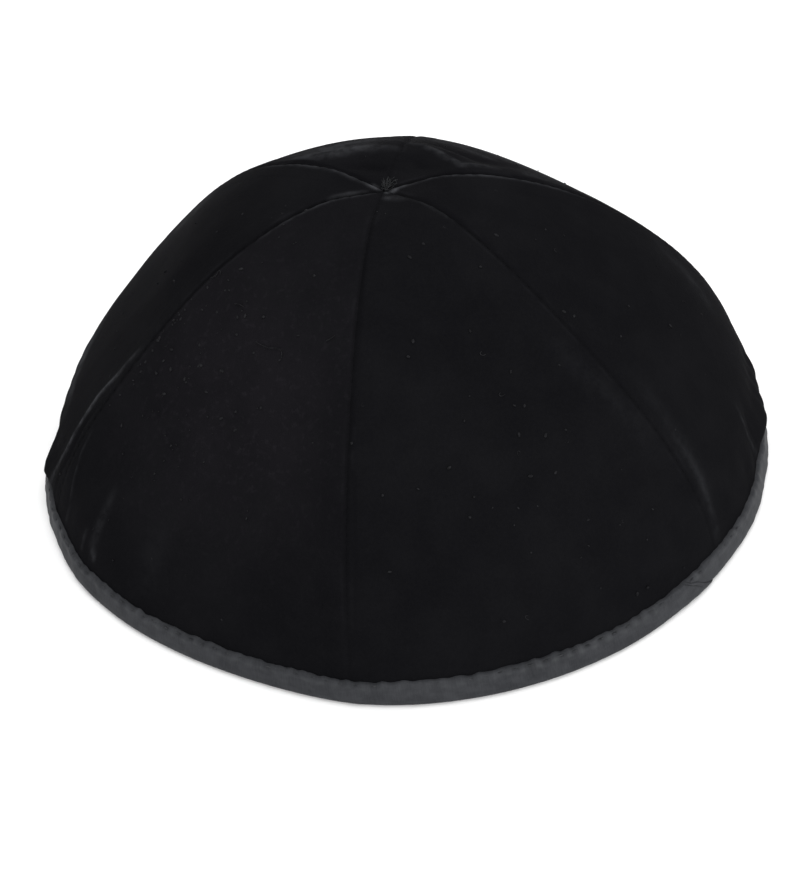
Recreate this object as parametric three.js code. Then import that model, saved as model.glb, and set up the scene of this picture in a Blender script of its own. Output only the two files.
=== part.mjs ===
// A six-panel velvet skullcap with a folded satin binding round its rim.
// Millimetres, +Z up. The cap rests on its rim at z = 0, with the rim's middle at the origin
// and its front towards -Y. Azimuths are in degrees from the front (-Y) towards the right (+X).

import * as THREE from 'three';

// The dome
const rimWidth = 186; // velvet surface at the rim, side to side
const rimDepth = 178.4; // velvet surface at the rim, front to back
const crownHeight = 79.9; // rim plane to the point where the six seams meet
const crownShiftX = -1.5; // the crown leans a little to the left
const crownShiftY = -0.5; // and a little forwards

// The velvet panels
const wall = 1.6; // pile, ground cloth and backing
const seamGap = 0.3; // clearance between neighbouring panels
const seamDepth = 0.8; // how far a panel's edge rolls in at its seam
const seamRoll = 2.5; // width of that rounded edge
const allowanceWidth = 7; // turned-in cloth along each seam, inside
const allowanceRise = 0.6; // thickness that it adds
const tipRadius = 0.7; // the panels' tips stop this far from the crown's middle

// The rim binding
const bindingWidth = 6.3; // height of the satin outside
const bindingInside = 6.8; // height of the satin inside
const tapeThickness = 0.9; // satin folded double
const bindingFold = 1.2; // satin under the velvet's edge
const bindingCorner = 0.7; // rounding of the fold's two lower edges
const cornerLimit = 0.8; // most of the tape's thickness that the rounding may take
const fitClearance = 0.3; // between velvet and satin
const lapAzimuth = 45; // where the tape's ends lap
const lapLength = 17; // along the rim
const lapRise = 0.5; // extra thickness there
const lapSlope = 3.5; // over which the extra thickness comes and goes

// How finely the surfaces are divided
const middleColumns = 8; // between the two seam allowances of a panel
const panelRows = 14; // from tip to binding
const rowCrowding = 1.15; // above one, rows lie closer together near the crown
const edgeShare = 0.36; // most of a panel's width that its edge columns may take, near the crown

// Where the pushes in the tables below act, as shares of the meridian
const highPlace = 0.3;
const lowPlace = 0.66;
const rimFade = 1.5; // power with which the rim's own shape fades towards the crown
const rimBlend = 0.08; // over which the wall takes up its upright place in the binding

// The meridian of the dome: along, out and up are shares of the meridian, of the rim's half width
// and of the crown's height. The crown lies in a shallow dimple.
const meridian = [
  { along: 0.0, out: 0.0, up: 1.0 },
  { along: 0.05, out: 0.072, up: 1.01 },
  { along: 0.1, out: 0.144, up: 1.012 },
  { along: 0.15, out: 0.214, up: 0.994 },
  { along: 0.2, out: 0.282, up: 0.966 },
  { along: 0.3, out: 0.41, up: 0.889 },
  { along: 0.4, out: 0.529, up: 0.797 },
  { along: 0.5, out: 0.642, up: 0.693 },
  { along: 0.6, out: 0.746, up: 0.579 },
  { along: 0.7, out: 0.84, up: 0.453 },
  { along: 0.8, out: 0.917, up: 0.314 },
  { along: 0.9, out: 0.971, up: 0.161 },
  { along: 1.0, out: 1.0, up: 0.0 },
];

// How far a panel's middle stands out from its two seams, as shares of the rim's half width:
// the gores are flatter than the seams, which stand out as soft ridges.
const goreShape = [
  { along: 0.0, out: 0.0, up: 0.0 },
  { along: 0.12, out: 0.0, up: -0.002 },
  { along: 0.25, out: 0.004, up: -0.008 },
  { along: 0.4, out: -0.017, up: -0.015 },
  { along: 0.55, out: -0.038, up: -0.022 },
  { along: 0.7, out: -0.043, up: -0.014 },
  { along: 0.86, out: -0.023, up: -0.004 },
  { along: 1.0, out: -0.012, up: 0.0 },
];

// The rim isn't quite an ellipse: out is a share of its half width.
const rimShape = [
  { azimuth: 0, out: 0.004 },
  { azimuth: 30, out: 0.003 },
  { azimuth: 52, out: -0.016 },
  { azimuth: 65, out: -0.006 },
  { azimuth: 90, out: -0.004 },
  { azimuth: 120, out: 0.009 },
  { azimuth: 150, out: 0.014 },
  { azimuth: 180, out: -0.004 },
  { azimuth: 210, out: -0.014 },
  { azimuth: 240, out: -0.002 },
  { azimuth: 260, out: -0.01 },
  { azimuth: 270, out: 0.0 },
  { azimuth: 287, out: -0.004 },
  { azimuth: 300, out: 0.006 },
  { azimuth: 333, out: -0.017 },
];

// Each seam's azimuth near the crown, half way down and at the rim, and how far it is pushed out
// high up and low down, as shares of the rim's half width.
const seams = [
  { top: -15.0, middle: -12.0, rim: -10.0, high: -0.01, low: -0.009 },
  { top: 52.2, middle: 50.1, rim: 52.9, high: -0.025, low: 0.004 },
  { top: 105.6, middle: 109.0, rim: 109.4, high: 0.009, low: -0.009 },
  { top: 164.6, middle: 169.5, rim: 165.3, high: -0.02, low: -0.022 },
  { top: 232.3, middle: 226.7, rim: 228.4, high: 0.025, low: -0.006 },
  { top: 283.8, middle: 287.5, rim: 285.6, high: 0.011, low: -0.017 },
];

// Each panel lies between its own seam and the next one. swell pushes its middle out low down,
// as a share of the rim's half width.
const panels = [
  { node: 'panel_front_right', swell: 0.001, colour: 0x161617 },
  { node: 'panel_right', swell: 0.024, colour: 0x151516 },
  { node: 'panel_back_right', swell: -0.01, colour: 0x161617 },
  { node: 'panel_back_left', swell: 0.009, colour: 0x151516 },
  { node: 'panel_left', swell: -0.001, colour: 0x161617 },
  { node: 'panel_front_left', swell: -0.034, colour: 0x17161a },
];

// Dents (out below zero) and ridges in the velvet. across and along place the middle, wide and
// tall are the half sizes as shares of the panel's width and of the meridian, lean is the drift
// across for a full meridian, and out is a share of the rim's half width.
const folds = [
  { panel: 'panel_back_left', across: 0.55, along: 0.1, wide: 0.5, tall: 0.035, lean: 0, out: -0.012 },
  { panel: 'panel_back_left', across: 0.5, along: 0.2, wide: 0.4, tall: 0.05, lean: 0, out: 0.007 },
  { panel: 'panel_back_right', across: 0.5, along: 0.09, wide: 0.5, tall: 0.03, lean: 0, out: -0.01 },
  { panel: 'panel_back_right', across: 0.5, along: 0.165, wide: 0.45, tall: 0.035, lean: 0, out: 0.009 },
  { panel: 'panel_front_left', across: 0.18, along: 0.89, wide: 0.05, tall: 0.07, lean: 0.3, out: 0.007 },
  { panel: 'panel_front_left', across: 0.4, along: 0.9, wide: 0.07, tall: 0.06, lean: 0.3, out: 0.006 },
  { panel: 'panel_right', across: 0.41, along: 0.9, wide: 0.05, tall: 0.09, lean: -0.5, out: -0.007 },
  { panel: 'panel_right', across: 0.68, along: 0.93, wide: 0.09, tall: 0.06, lean: 0, out: -0.009 },
  { panel: 'panel_left', across: 0.66, along: 0.935, wide: 0.14, tall: 0.045, lean: 0, out: -0.022 },
  { panel: 'panel_left', across: 0.53, along: 0.85, wide: 0.25, tall: 0.06, lean: 0, out: 0.006 },
];

// A panel's columns next to a seam: how far from it, and the shares of seamDepth and of
// allowanceRise that they take.
const edgeColumns = [
  { distance: 0, roll: 1, allowance: 1 },
  { distance: 0.4 * seamRoll, roll: 0.35, allowance: 1 },
  { distance: seamRoll, roll: 0, allowance: 1 },
  { distance: allowanceWidth, roll: 0, allowance: 1 },
  { distance: allowanceWidth + allowanceRise, roll: 0, allowance: 0 },
];

const halfWidth = rimWidth / 2;
const halfDepth = rimDepth / 2;
const fullTurn = 360;

function smoothStep(low, high, value) {
  const share = THREE.MathUtils.clamp((value - low) / (high - low), 0, 1);
  return share * share * (3 - 2 * share);
}

// A smooth curve through a table's rows: value of column y at x.
function readTable(rows, xName, yName, x) {
  let i = 0;
  while (i < rows.length - 2 && x > rows[i + 1][xName]) i += 1;
  const slope = (a, b) => (b[yName] - a[yName]) / (b[xName] - a[xName]);
  const here = rows[i];
  const next = rows[i + 1];
  const before = rows[Math.max(i - 1, 0)];
  const after = rows[Math.min(i + 2, rows.length - 1)];
  const span = next[xName] - here[xName];
  const share = THREE.MathUtils.clamp((x - here[xName]) / span, 0, 1);
  const left = slope(before, next) * span;
  const right = slope(here, after) * span;
  const rise = next[yName] - here[yName];
  return here[yName] + share * (left + share * (3 * rise - 2 * left - right + share * (left + right - 2 * rise)));
}

// The share along the meridian at which the dome has a given height near its rim.
function alongAtHeight(height) {
  let low = 0.5;
  let high = 1;
  for (let i = 0; i < 40; i += 1) {
    const middle = (low + high) / 2;
    if (readTable(meridian, 'along', 'up', middle) * crownHeight > height) low = middle;
    else high = middle;
  }
  return (low + high) / 2;
}

const tipAlong = tipRadius / (halfWidth * (meridian[1].out / meridian[1].along));
const velvetEnd = alongAtHeight(bindingFold + fitClearance);
const aboveBinding = alongAtHeight(Math.max(bindingWidth, bindingInside) + 1);
const rollDepth = Math.min(seamDepth, wall / 2);

// The rim table closes on itself, so a row from each end is repeated past the other.
const lastRim = rimShape[rimShape.length - 1];
const closedRim = [
  { azimuth: lastRim.azimuth - fullTurn, out: lastRim.out },
  ...rimShape,
  { azimuth: rimShape[0].azimuth + fullTurn, out: rimShape[0].out },
  { azimuth: rimShape[1].azimuth + fullTurn, out: rimShape[1].out },
];

function rimSwell(azimuth) {
  const turn = ((azimuth % fullTurn) + fullTurn) % fullTurn;
  return readTable(closedRim, 'azimuth', 'out', turn);
}

// The outward direction of the dome in its meridian plane, as shares out and up. It turns level
// above the binding, so that the velvet's edge stands square in the satin.
function meridianNormal(along) {
  const step = 0.01;
  const low = Math.max(along - step, 0);
  const high = Math.min(along + step, 1);
  const out = (readTable(meridian, 'along', 'out', high) - readTable(meridian, 'along', 'out', low)) * halfWidth;
  const up = (readTable(meridian, 'along', 'up', high) - readTable(meridian, 'along', 'up', low)) * crownHeight;
  const level = (out / Math.hypot(out, up)) * (1 - smoothStep(aboveBinding - rimBlend, aboveBinding, along));
  return { out: Math.sqrt(1 - level * level), up: level };
}

function seamAzimuth(index, along) {
  const seam = seams[index % seams.length];
  const rows = [
    { along: 0, azimuth: seam.top },
    { along: 0.5, azimuth: seam.middle },
    { along: 1, azimuth: seam.rim },
  ];
  const turns = Math.floor(index / seams.length);
  return readTable(rows, 'along', 'azimuth', along) + turns * fullTurn;
}

function highShare(along) {
  return smoothStep(0, highPlace, along) * (1 - smoothStep(highPlace, lowPlace, along));
}

function lowShare(along) {
  return smoothStep(highPlace, lowPlace, along) * (1 - smoothStep(lowPlace, 1, along));
}

function seamPush(index, along) {
  const seam = seams[index % seams.length];
  return seam.high * highShare(along) + seam.low * lowShare(along);
}

// How far the folds of a panel push its surface out at one place.
function foldPush(panelIndex, across, along) {
  let push = 0;
  for (const fold of folds) {
    if (fold.panel !== panels[panelIndex].node) continue;
    const middle = fold.across + fold.lean * (along - fold.along);
    const x = (across - middle) / fold.wide;
    const y = (along - fold.along) / fold.tall;
    push += fold.out * Math.exp(-x * x - y * y);
  }
  return push * Math.sqrt(Math.max(Math.sin(Math.PI * across), 0));
}

// The velvet's outer surface and its outward direction, at a share across a panel and along it.
function domePoint(panelIndex, across, along) {
  const first = seamAzimuth(panelIndex, along);
  const last = seamAzimuth(panelIndex + 1, along);
  const azimuth = first + (last - first) * across;
  const angle = THREE.MathUtils.degToRad(azimuth);
  const bulge = Math.sin(Math.PI * across);
  const out = readTable(meridian, 'along', 'out', along);
  const up = readTable(meridian, 'along', 'up', along);
  const gore = readTable(goreShape, 'along', 'out', along) + panels[panelIndex].swell * lowShare(along);
  const push = seamPush(panelIndex, along) * (1 - across) + seamPush(panelIndex + 1, along) * across;
  const fold = foldPush(panelIndex, across, along);
  const normal = meridianNormal(along);
  const radial = out * (1 + rimSwell(azimuth) * along ** rimFade) + gore * bulge + push + fold * normal.out;
  const lean = up * (1 - along);
  const rise = readTable(goreShape, 'along', 'up', along) * bulge + fold * normal.up;
  const x = Math.sin(angle);
  const y = -Math.cos(angle);
  return {
    point: new THREE.Vector3(
      x * radial * halfWidth + crownShiftX * lean,
      y * radial * halfDepth + crownShiftY * lean,
      up * crownHeight + rise * halfWidth,
    ),
    normal: new THREE.Vector3(x * normal.out, y * normal.out, normal.up),
    side: new THREE.Vector3(-y, x, 0),
  };
}

// A panel's columns at one row, and how much its narrow end shrinks the rolled edges.
function panelColumns(panelIndex, along) {
  const left = domePoint(panelIndex, 0, along);
  const right = domePoint(panelIndex, 1, along);
  const width = left.point.distanceTo(right.point);
  const shrink = Math.min(1, (edgeShare * width) / edgeColumns[edgeColumns.length - 1].distance);
  const near = edgeColumns.map((column) => ({ ...column, across: (column.distance * shrink) / width }));
  const start = near[near.length - 1].across;
  const columns = [...near];
  for (let i = 1; i <= middleColumns; i += 1) {
    columns.push({ across: start + ((1 - 2 * start) * i) / (middleColumns + 1), roll: 0, allowance: 0 });
  }
  for (const column of near.reverse()) columns.push({ ...column, across: 1 - column.across });
  return { columns, shrink };
}

// One body from two grids of points, outside and inside, closed along all four edges.
function closedWall(outside, inside) {
  const rows = outside.length;
  const columns = outside[0].length;
  const positions = [];
  for (const grid of [outside, inside]) {
    for (const row of grid) for (const point of row) positions.push(point.x, point.y, point.z);
  }
  const at = (layer, row, column) => (layer * rows + row) * columns + column;
  const indices = [];
  const addQuad = (a, b, c, d) => indices.push(a, b, c, a, c, d);
  for (let i = 0; i < rows - 1; i += 1) {
    for (let j = 0; j < columns - 1; j += 1) {
      addQuad(at(0, i, j), at(0, i + 1, j), at(0, i + 1, j + 1), at(0, i, j + 1));
      addQuad(at(1, i, j), at(1, i, j + 1), at(1, i + 1, j + 1), at(1, i + 1, j));
    }
    addQuad(at(0, i, 0), at(1, i, 0), at(1, i + 1, 0), at(0, i + 1, 0));
    addQuad(at(0, i, columns - 1), at(0, i + 1, columns - 1), at(1, i + 1, columns - 1), at(1, i, columns - 1));
  }
  for (let j = 0; j < columns - 1; j += 1) {
    addQuad(at(0, 0, j), at(0, 0, j + 1), at(1, 0, j + 1), at(1, 0, j));
    addQuad(at(0, rows - 1, j), at(1, rows - 1, j), at(1, rows - 1, j + 1), at(0, rows - 1, j + 1));
  }
  return indexedGeometry(positions, indices);
}

// One body from a closed loop of closed sections.
function closedRing(sections) {
  const count = sections.length;
  const size = sections[0].length;
  const positions = sections.flat().flatMap((point) => [point.x, point.y, point.z]);
  const indices = [];
  for (let i = 0; i < count; i += 1) {
    for (let j = 0; j < size; j += 1) {
      const a = i * size + j;
      const b = i * size + ((j + 1) % size);
      const c = ((i + 1) % count) * size + ((j + 1) % size);
      const d = ((i + 1) % count) * size + j;
      indices.push(a, b, c, a, c, d);
    }
  }
  return indexedGeometry(positions, indices);
}

function indexedGeometry(positions, indices) {
  const geometry = new THREE.BufferGeometry();
  geometry.setAttribute('position', new THREE.Float32BufferAttribute(positions, 3));
  geometry.setIndex(indices);
  geometry.computeVertexNormals();
  return geometry;
}

function makePanel(panelIndex) {
  const rows = [];
  for (let i = 0; i <= panelRows; i += 1) {
    const share = i / panelRows;
    rows.push(tipAlong + (aboveBinding - tipAlong) * share ** rowCrowding);
  }
  rows.push(velvetEnd);
  const outside = [];
  const inside = [];
  for (const along of rows) {
    const { columns, shrink } = panelColumns(panelIndex, along);
    const clearOfBinding = 1 - smoothStep(aboveBinding - rimBlend, aboveBinding, along);
    const outsideRow = [];
    const insideRow = [];
    columns.forEach((column, j) => {
      const place = domePoint(panelIndex, column.across, along);
      const atEdge = j === 0 ? 1 : j === columns.length - 1 ? -1 : 0;
      const start = place.point.clone().addScaledVector(place.side, (atEdge * seamGap) / 2);
      const roll = column.roll * rollDepth * shrink;
      const thickness = wall + column.allowance * allowanceRise * clearOfBinding * shrink;
      outsideRow.push(start.clone().addScaledVector(place.normal, -roll));
      insideRow.push(start.clone().addScaledVector(place.normal, -thickness));
    });
    outside.push(outsideRow);
    inside.push(insideRow);
  }
  const material = new THREE.MeshStandardMaterial({ color: panels[panelIndex].colour, roughness: 0.95, metalness: 0 });
  const mesh = new THREE.Mesh(closedWall(outside, inside), material);
  mesh.name = panels[panelIndex].node;
  return mesh;
}

// How much of the lap's extra thickness the tape has at one azimuth.
function lapShare(azimuth) {
  const apart = ((azimuth - lapAzimuth + 1.5 * fullTurn) % fullTurn) - fullTurn / 2;
  const reach = Math.abs(THREE.MathUtils.degToRad(apart)) * (halfWidth + halfDepth) / 2;
  return 1 - smoothStep(lapLength / 2 - lapSlope, lapLength / 2 + lapSlope, reach);
}

// One section of the binding: down the outside, along the flat bottom, up the inside and back
// round the slot that holds the velvet's edge.
function bindingSection(panelIndex, across) {
  const first = seamAzimuth(panelIndex, 1);
  const last = seamAzimuth(panelIndex + 1, 1);
  const lap = lapShare(first + (last - first) * across) * lapRise;
  const slotOutside = fitClearance;
  const slotInside = -(wall + fitClearance);
  const outside = slotOutside + tapeThickness + lap;
  const inside = slotInside - tapeThickness;
  const corner = Math.min(bindingCorner, cornerLimit * tapeThickness);
  const profile = [
    { height: bindingWidth, offset: slotOutside },
    { height: bindingWidth, offset: outside - corner / 2 },
    { height: bindingWidth - corner / 2, offset: outside },
    { height: corner, offset: outside },
    { height: 0, offset: outside - corner },
    { height: 0, offset: inside + corner },
    { height: corner, offset: inside },
    { height: bindingInside - corner / 2, offset: inside },
    { height: bindingInside, offset: inside + corner / 2 },
    { height: bindingInside, offset: slotInside },
    { height: bindingFold, offset: slotInside },
    { height: bindingFold, offset: slotOutside },
  ];
  return profile.map(({ height, offset }) => {
    const place = domePoint(panelIndex, across, alongAtHeight(height));
    return new THREE.Vector3(place.point.x, place.point.y, height).addScaledVector(place.normal, offset);
  });
}

function makeBinding() {
  const sections = [];
  panels.forEach((panel, panelIndex) => {
    const { columns } = panelColumns(panelIndex, 1);
    for (const column of columns.slice(0, -1)) sections.push(bindingSection(panelIndex, column.across));
  });
  const material = new THREE.MeshStandardMaterial({ color: 0x3e4043, roughness: 0.5, metalness: 0 });
  const mesh = new THREE.Mesh(closedRing(sections), material);
  mesh.name = 'rim_binding';
  return mesh;
}

const kippah = new THREE.Group();
const binding = makeBinding();
kippah.add(...panels.map((panel, panelIndex) => makePanel(panelIndex)), binding);

// The rim's middle goes to the origin.
binding.geometry.computeBoundingBox();
const middle = binding.geometry.boundingBox.getCenter(new THREE.Vector3());
kippah.position.set(-middle.x, -middle.y, 0);

export default kippah;
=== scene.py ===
# A six-gore velvet skullcap with a folded satin binding, resting on its rim.
# Metres, +Z up, front towards -Y, azimuths in degrees from the front towards the right.
import math
import random

import bpy
import numpy as np
from mathutils import Matrix, Vector


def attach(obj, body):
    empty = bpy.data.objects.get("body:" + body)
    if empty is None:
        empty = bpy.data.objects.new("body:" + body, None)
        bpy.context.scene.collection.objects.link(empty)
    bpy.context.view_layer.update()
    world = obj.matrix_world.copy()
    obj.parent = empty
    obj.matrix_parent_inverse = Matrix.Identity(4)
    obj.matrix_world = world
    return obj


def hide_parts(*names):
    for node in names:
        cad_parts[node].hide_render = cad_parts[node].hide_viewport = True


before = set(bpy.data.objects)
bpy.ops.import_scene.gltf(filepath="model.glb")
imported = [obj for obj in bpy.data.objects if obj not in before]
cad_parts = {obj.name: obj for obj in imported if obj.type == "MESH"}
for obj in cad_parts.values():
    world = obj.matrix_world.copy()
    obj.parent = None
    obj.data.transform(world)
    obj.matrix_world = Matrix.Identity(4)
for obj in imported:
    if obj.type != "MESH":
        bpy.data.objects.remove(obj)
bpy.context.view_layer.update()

mm = 0.001
fullTurn = 360


# Surface of the cap

# The dome that the gores are cut for. Shares are of its half width, and of its height.
dome = {
    "halfWidth": 93 * mm,
    "halfDepth": 89.2 * mm,
    "crownHeight": 79.9 * mm,
    "crownShift": (-1.5 * mm, -0.5 * mm),
    "along": [0, 0.05, 0.1, 0.15, 0.2, 0.3, 0.4, 0.5, 0.6, 0.7, 0.8, 0.9, 1],
    "out": [0, 0.072, 0.144, 0.214, 0.282, 0.41, 0.529, 0.642, 0.746, 0.84, 0.917, 0.971, 1],
    "up": [1, 1.01, 1.012, 0.994, 0.966, 0.889, 0.797, 0.693, 0.579, 0.453, 0.314, 0.161, 0],
    "goreAlong": [0, 0.12, 0.25, 0.4, 0.55, 0.7, 0.86, 1],
    "goreOut": [0, 0, 0.004, -0.017, -0.038, -0.043, -0.023, -0.012],
    "goreUp": [0, -0.002, -0.008, -0.015, -0.022, -0.014, -0.004, 0],
    "rimAzimuth": [0, 30, 52, 65, 90, 120, 150, 180, 210, 240, 260, 270, 287, 300, 333],
    "rimOut": [0.004, 0.003, -0.016, -0.006, -0.004, 0.009, 0.014, -0.004, -0.014, -0.002, -0.01, 0, -0.004,
               0.006, -0.017],
    "highPlace": 0.3,
    "lowPlace": 0.66,
    "rimFade": 1.5,
    "upright": (0.875, 0.955),  # the wall comes to stand upright between these shares
    "depthAlong": [0.03, 0.33, 0.67, 0.95],
    "rimRing": (1.5 * mm, 1.2 * mm),  # height and distance out of the binding where it is widest
}

# Each seam: azimuth near the crown, half way and at the rim, how far it stands out high and low,
# and how deep its groove is and how strong its painted shade and lip highlight are, near the crown, at a
# third, at two thirds and at the rim.
seams = [
    {"azimuth": (-15.0, -12.0, -10.0), "depth": (0.35, 0.65, 0.5, 0.08), "high": -0.01, "low": -0.009},
    {"azimuth": (52.2, 50.1, 52.9), "depth": (0.7, 0.5, 0.4, 0.15), "high": -0.025, "low": 0.004},
    {"azimuth": (105.6, 109.0, 109.4), "depth": (0.9, 0.9, 0.7, 0.6), "high": 0.009, "low": -0.009},
    {"azimuth": (164.6, 169.5, 165.3), "depth": (0.2, 0.7, 0.7, 0.7), "high": -0.02, "low": -0.022},
    {"azimuth": (232.3, 226.7, 228.4), "depth": (0.7, 0.8, 0.7, 0.7), "high": 0.025, "low": -0.006},
    {"azimuth": (283.8, 287.5, 285.6), "depth": (0.9, 0.75, 0.5, 0.35), "high": 0.011, "low": -0.017},
]

# The fourth value of each gore is the strength of a lighter purplish patch round its middle: partly the
# cloth's own tint, partly painted light where the panel faces the lamps or its pile shows sheen.
gores = [
    {"name": "velvetFrontRight", "node": "panel_front_right", "swell": 0.001, "tintAndPaintedLight": 0.0},
    {"name": "velvetRight", "node": "panel_right", "swell": 0.024, "tintAndPaintedLight": 0.0},
    {"name": "velvetBackRight", "node": "panel_back_right", "swell": -0.01, "tintAndPaintedLight": 0.3},
    {"name": "velvetBackLeft", "node": "panel_back_left", "swell": 0.009, "tintAndPaintedLight": 0.3},
    {"name": "velvetLeft", "node": "panel_left", "swell": -0.001, "tintAndPaintedLight": 0.0},
    {"name": "velvetFrontLeft", "node": "panel_front_left", "swell": -0.034, "tintAndPaintedLight": 0.75},
]

# Dents and ridges. Each row has a gore, the place across and along it, half sizes wide and tall, the drift
# across for the whole meridian, and how far it stands out as a share of the half width.
folds = [
    (3, 0.55, 0.1, 0.5, 0.035, 0, -0.012),
    (3, 0.5, 0.2, 0.4, 0.05, 0, 0.007),
    (2, 0.5, 0.09, 0.5, 0.03, 0, -0.01),
    (2, 0.5, 0.165, 0.45, 0.035, 0, 0.009),
    (5, 0.18, 0.89, 0.05, 0.07, 0.3, 0.007),
    (5, 0.4, 0.9, 0.07, 0.06, 0.3, 0.006),
    (1, 0.41, 0.9, 0.05, 0.09, -0.5, -0.007),
    (1, 0.68, 0.93, 0.09, 0.06, 0, -0.009),
    (4, 0.66, 0.935, 0.14, 0.045, 0, -0.022),
    (4, 0.53, 0.85, 0.25, 0.06, 0, 0.006),
]


def readTable(places, values, x):  # a smooth line through the values of a table
    places = np.asarray(places, float)
    values = np.asarray(values, float)
    x = np.asarray(x, float)
    i = np.clip(np.searchsorted(places, x) - 1, 0, len(places) - 2)
    before = np.maximum(i - 1, 0)
    after = np.minimum(i + 2, len(places) - 1)
    span = places[i + 1] - places[i]
    share = np.clip((x - places[i]) / span, 0, 1)
    left = (values[i + 1] - values[before]) / (places[i + 1] - places[before]) * span
    right = (values[after] - values[i]) / (places[after] - places[i]) * span
    rise = values[i + 1] - values[i]
    bend = 3 * rise - 2 * left - right
    return values[i] + share * (left + share * (bend + share * (left + right - 2 * rise)))


def smoothStep(low, high, value):
    share = np.clip((value - low) / (high - low), 0, 1)
    return share * share * (3 - 2 * share)


def seamAzimuth(index, along):
    turns, seam = divmod(index, len(seams))
    return readTable([0, 0.5, 1], seams[seam]["azimuth"], along) + turns * fullTurn


def highShare(along):
    fade = 1 - smoothStep(dome["highPlace"], dome["lowPlace"], along)
    return smoothStep(0, dome["highPlace"], along) * fade


def lowShare(along):
    fade = 1 - smoothStep(dome["lowPlace"], 1, along)
    return smoothStep(dome["highPlace"], dome["lowPlace"], along) * fade


def seamPush(index, along):  # share of the half width by which a seam stands out
    seam = seams[index % len(seams)]
    return seam["high"] * highShare(along) + seam["low"] * lowShare(along)


def seamDepth(index, along):
    return np.interp(along, dome["depthAlong"], seams[index % len(seams)]["depth"])


def meridianNormal(along):  # how far the surface faces outwards, and up
    step = 0.01
    low = np.maximum(along - step, 0)
    high = np.minimum(along + step, 1)
    out = readTable(dome["along"], dome["out"], high) - readTable(dome["along"], dome["out"], low)
    up = readTable(dome["along"], dome["up"], high) - readTable(dome["along"], dome["up"], low)
    out = out * dome["halfWidth"]
    up = up * dome["crownHeight"]
    level = out / np.hypot(out, up) * (1 - smoothStep(*dome["upright"], along))
    return np.sqrt(1 - level * level), level


def foldPush(gore, across, along):
    push = np.zeros(np.broadcast(across, along).shape)
    for folded, middle, level, wide, tall, drift, out in folds:
        if folded == gore:
            x = (across - middle - drift * (along - level)) / wide
            y = (along - level) / tall
            push = push + out * np.exp(-x * x - y * y)
    return push * np.sqrt(np.maximum(np.sin(np.pi * across), 0))


def rimSwell(azimuth):
    places = dome["rimAzimuth"]
    values = dome["rimOut"]
    places = [places[-1] - fullTurn] + places + [places[0] + fullTurn, places[1] + fullTurn]
    values = [values[-1]] + values + [values[0], values[1]]
    return readTable(places, values, np.mod(azimuth, fullTurn))


def domePoint(gore, across, along):  # surface points, outward directions and azimuths
    across, along = np.broadcast_arrays(np.asarray(across, float), np.asarray(along, float))
    first = seamAzimuth(gore, along)
    azimuth = first + (seamAzimuth(gore + 1, along) - first) * across
    bulge = np.sin(np.pi * across)
    out = readTable(dome["along"], dome["out"], along)
    up = readTable(dome["along"], dome["up"], along)
    goreOut = readTable(dome["goreAlong"], dome["goreOut"], along) + gores[gore]["swell"] * lowShare(along)
    push = seamPush(gore, along) * (1 - across) + seamPush(gore + 1, along) * across
    normalOut, normalUp = meridianNormal(along)
    fold = foldPush(gore, across, along)
    swell = 1 + rimSwell(azimuth) * along ** dome["rimFade"]
    radial = out * swell + goreOut * bulge + push + fold * normalOut
    rise = readTable(dome["goreAlong"], dome["goreUp"], along) * bulge + fold * normalUp
    lean = up * (1 - along)
    x = np.sin(np.radians(azimuth))
    y = -np.cos(np.radians(azimuth))
    point = np.stack([
        x * radial * dome["halfWidth"] + dome["crownShift"][0] * lean,
        y * radial * dome["halfDepth"] + dome["crownShift"][1] * lean,
        up * dome["crownHeight"] + rise * dome["halfWidth"],
    ], axis=-1)
    normal = np.stack([x * normalOut, y * normalOut, normalUp], axis=-1)
    return point, normal, azimuth


def alongAtHeight(height):  # near the rim, where the meridian falls steeply
    steps = np.linspace(0.5, 1, 600)
    heights = readTable(dome["along"], dome["up"], steps) * dome["crownHeight"]
    return np.interp(-np.asarray(height, float), -heights, steps)


def rimPlace(azimuth):  # which gore an azimuth of the rim falls in, and the share across it
    turn = np.mod(azimuth - seams[0]["azimuth"][2], fullTurn) + seams[0]["azimuth"][2]
    edges = np.array([seam["azimuth"][2] for seam in seams] + [seams[0]["azimuth"][2] + fullTurn])
    gore = np.clip(np.searchsorted(edges, turn, side="right") - 1, 0, len(seams) - 1)
    return gore, (turn - edges[gore]) / (edges[gore + 1] - edges[gore])


def rimPoint(azimuth, height, offset):  # places on the binding and their outward directions
    azimuth, height, offset = np.broadcast_arrays(azimuth, height, offset)
    gore, across = rimPlace(azimuth)
    points = np.zeros(azimuth.shape + (3,))
    normals = np.zeros(azimuth.shape + (3,))
    for index in range(len(gores)):
        chosen = gore == index
        if chosen.any():
            point, normal, _ = domePoint(index, across[chosen], alongAtHeight(np.maximum(height[chosen], 0)))
            point[..., 2] = height[chosen]
            points[chosen] = point + normal * offset[chosen][..., None]
            normals[chosen] = normal
    return points - rimMiddle, normals


def waves(points, seed, sizes):  # soft unevenness: a few plane waves with seeded directions
    chance = np.random.default_rng(seed)
    total = np.zeros(points.shape[:-1])
    for size in sizes:
        direction = chance.normal(size=3)
        direction = direction / np.linalg.norm(direction)
        phase = chance.uniform(0, 2 * np.pi)
        total = total + np.sin(points @ direction * (2 * np.pi / size) + phase)
    return total / len(sizes)


# The rim's middle is the frame's origin, so the dome is centred by its binding.
rimMiddle = np.zeros(3)
ring = rimPoint(np.arange(0, fullTurn, 0.5), *dome["rimRing"])[0]
rimMiddle = np.append((ring[:, :2].max(axis=0) + ring[:, :2].min(axis=0)) / 2, 0)


# Mesh helpers

def deselectAll():
    for other in bpy.context.selected_objects:
        other.select_set(False)


def selectOnly(piece):
    deselectAll()
    piece.select_set(True)
    bpy.context.view_layer.objects.active = piece


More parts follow.
